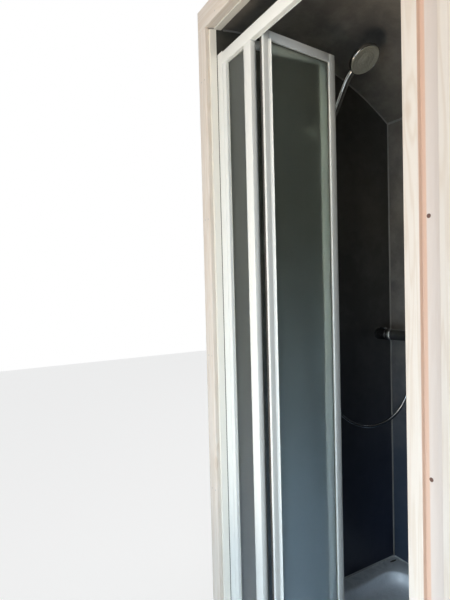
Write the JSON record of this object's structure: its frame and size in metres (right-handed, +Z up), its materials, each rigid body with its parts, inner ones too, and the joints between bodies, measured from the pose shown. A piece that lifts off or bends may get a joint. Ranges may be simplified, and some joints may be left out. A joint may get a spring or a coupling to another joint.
{
  "type": "shower cubicle with a folding glass door",
  "caption": "Alcove shower cubicle: tray, dark wall panels, bent ceiling panel, white folding frosted door standing open, bar mixer and hand shower on a hose.",
  "frame": {"origin": "centre of the footprint on the floor", "axes": "+Z up; the doorway faces -Y; +X to the right seen from the front"},
  "size_m": [0.914, 0.895, 2.142],
  "materials": {
    "tray_resin": "glossy white gel coat on stone resin",
    "waste_steel": "polished waste cover",
    "foot_plastic": "matt moulded feet",
    "wall_laminate": "dark slate-look laminate on board, satin",
    "ceiling_laminate": "dark mottled laminate on board, satin",
    "strip_grey": "grey joint strip",
    "trim_white": "white powder coat",
    "casing_boards": "white-stained softwood",
    "stud_pine": "planed softwood",
    "frame_white": "white powder coat, satin",
    "seal_rubber": "dark flexible seal",
    "frosted_glass": "satin-etched safety glass",
    "guide_plastic": "white moulded guides and hinge",
    "mixer_chrome": "polished chrome",
    "knob_chrome": "satin chrome",
    "shower_chrome": "polished chrome",
    "spray_grey": "grey spray disc with soft nozzles",
    "hose_silver": "silver ribbed hose"
  },
  "bodies": {
    "cubicle": {"shower_tray": "tray_resin", "tray_skirt": "tray_resin", "tray_waste": "waste_steel", "tray_feet": "foot_plastic", "left_wall_panel": "wall_laminate", "right_wall_panel": "wall_laminate", "back_wall_panel": "wall_laminate", "ceiling_panel": "ceiling_laminate", "corner_strips": "strip_grey", "edge_trim": "trim_white", "left_casing": "casing_boards", "right_casing": "casing_boards", "top_casing": "casing_boards", "left_studs": "stud_pine", "right_studs": "stud_pine", "back_studs": "stud_pine", "sole_plates": "stud_pine", "top_plates": "stud_pine", "ceiling_battens": "stud_pine", "wall_profiles": "frame_white", "jamb_stiles": "frame_white", "closing_strip": "seal_rubber", "header_rail": "frame_white", "threshold_rail": "frame_white", "fixed_glass": "frosted_glass", "fixed_stile": "frame_white", "fold_leaf_stiles": "frame_white", "fold_leaf_rails": "frame_white", "fold_leaf_glass": "frosted_glass", "fold_leaf_pivots": "guide_plastic", "slide_leaf_stiles": "frame_white", "slide_leaf_rails": "frame_white", "slide_leaf_glass": "frosted_glass", "slide_leaf_guides": "guide_plastic", "slide_leaf_grip": "frame_white", "slide_leaf_seal": "seal_rubber", "leaf_hinge": "guide_plastic", "mixer_body": "mixer_chrome", "mixer_unions": "mixer_chrome", "shower_bracket": "mixer_chrome", "hand_shower": "shower_chrome", "spray_face": "spray_grey", "hose_nuts": "shower_chrome", "shower_hose": "hose_silver"},
    "left_knob": {"left_knob": "knob_chrome"},
    "right_knob": {"right_knob": "knob_chrome"}
  },
  "joints": [
    {"name": "left_knob_turn", "type": "hinge", "parent": "cubicle", "child": "left_knob", "pos_m": [-0.35, 0.2905, 1.034], "axis": [-1, 0, 0], "range_deg": [-90, 90]},
    {"name": "right_knob_turn", "type": "hinge", "parent": "cubicle", "child": "right_knob", "pos_m": [-0.096, 0.2905, 1.034], "axis": [1, 0, 0], "range_deg": [-90, 90]}
  ]
}
